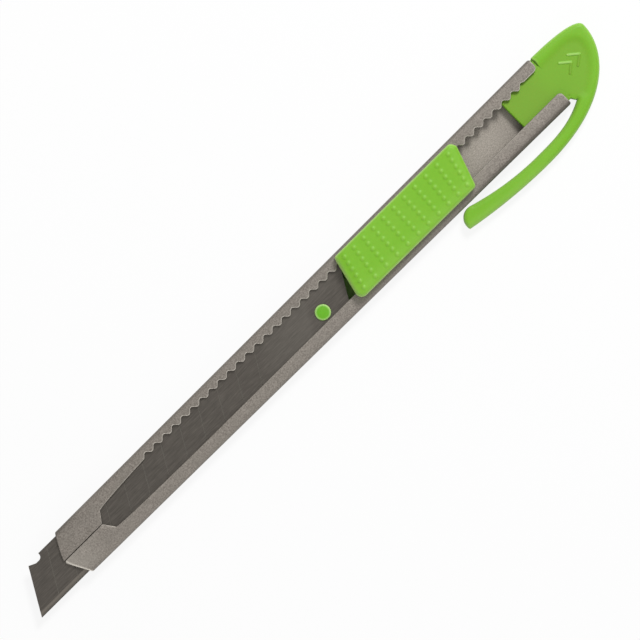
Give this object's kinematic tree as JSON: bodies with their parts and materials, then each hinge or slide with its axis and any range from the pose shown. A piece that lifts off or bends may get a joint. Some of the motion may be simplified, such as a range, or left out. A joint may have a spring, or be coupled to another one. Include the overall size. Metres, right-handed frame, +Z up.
{
  "type": "snap-off knife",
  "caption": "Slim snap-off knife with a folded metal sleeve, a scored blade on a thumb slider that clicks along wave teeth, and a plastic end cap with a pocket clip.",
  "frame": {"origin": "on the flat back face of the sleeve, on its centre line, half way between nose tip and rear end", "axes": "+X along the knife to the blade tip, +Y to the cutting edge and the clip side, +Z up out of the open side towards the button"},
  "size_m": [0.1488, 0.0165, 0.006],
  "materials": {
    "sleeve_steel": "matte grey folded sheet",
    "blade_steel": "dark satin ground steel",
    "carrier_plastic": "satin green moulding",
    "button_plastic": "satin yellow-green moulding with raised dots",
    "spring_steel": "bright strip",
    "cap_plastic": "satin yellow-green moulding"
  },
  "bodies": {
    "sleeve": {"sleeve": "sleeve_steel"},
    "slider": {"snap_off_blade": "blade_steel", "blade_carrier": "carrier_plastic", "slider_button": "button_plastic"},
    "detent": {"detent_spring": "spring_steel"},
    "cap": {"end_cap": "cap_plastic"},
    "clip": {"pocket_clip": "cap_plastic"}
  },
  "joints": [
    {"name": "slider_travel", "type": "slide", "parent": "sleeve", "child": "slider", "axis": [1, 0, 0], "range_m": [-0.01428, 0.04998]},
    {"name": "detent_flex", "type": "hinge", "parent": "slider", "child": "detent", "pos_m": [-0.03181, -0.00188, 0.0023], "axis": [0, 0, -1], "range_deg": [0, 2.3], "stiffness_Nm_per_rad": 0.15, "springref_deg": 2.3},
    {"name": "cap_pull", "type": "slide", "parent": "sleeve", "child": "cap", "axis": [-1, 0, 0], "range_m": [0, 0.012]},
    {"name": "clip_flex", "type": "hinge", "parent": "cap", "child": "clip", "pos_m": [-0.0622, 0.00837, 0.0015], "axis": [0, 0, 1], "range_deg": [0, 6], "stiffness_Nm_per_rad": 1}
  ]
}
